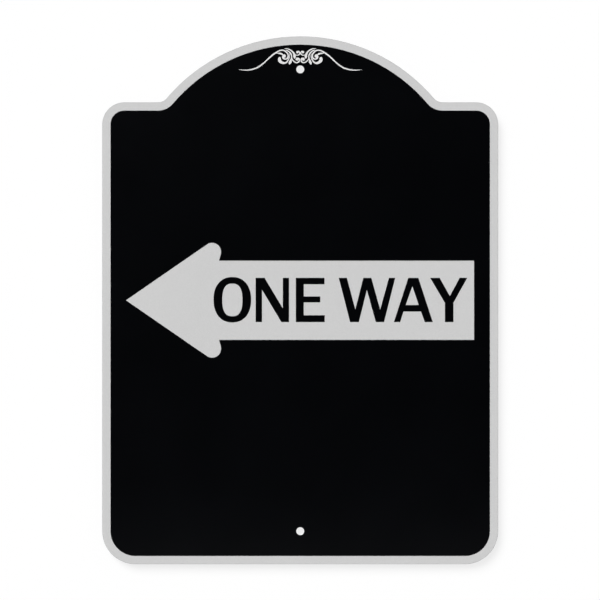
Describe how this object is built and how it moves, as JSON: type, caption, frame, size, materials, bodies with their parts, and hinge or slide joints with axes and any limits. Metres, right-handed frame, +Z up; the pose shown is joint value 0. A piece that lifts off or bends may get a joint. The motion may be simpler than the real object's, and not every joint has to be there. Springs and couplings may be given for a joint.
{
  "type": "one way sign",
  "caption": "Flat aluminium one way road sign with a raised crown, silver border and left-pointing arrow on a black field, a scroll under the crown, and a bolt hole at top and at bottom.",
  "frame": {"origin": "middle of the sheet's back face, midway between the two bolt holes", "axes": "+X to the right as the face is seen, +Z up towards the crown, -Y out of the face, +Y towards the post that the back rests on"},
  "size_m": [0.4572, 0.0019, 0.6096],
  "materials": {
    "aluminium_sheet": "mill-rolled, satin, edges punched",
    "silver_film": "silver reflective sheeting, fine bead texture, satin",
    "black_film": "opaque black film, low sheen"
  },
  "bodies": {
    "root": {"sign_blank": "aluminium_sheet", "silver_sheeting": "silver_film", "black_overlay": "black_film"}
  },
  "joints": []
}
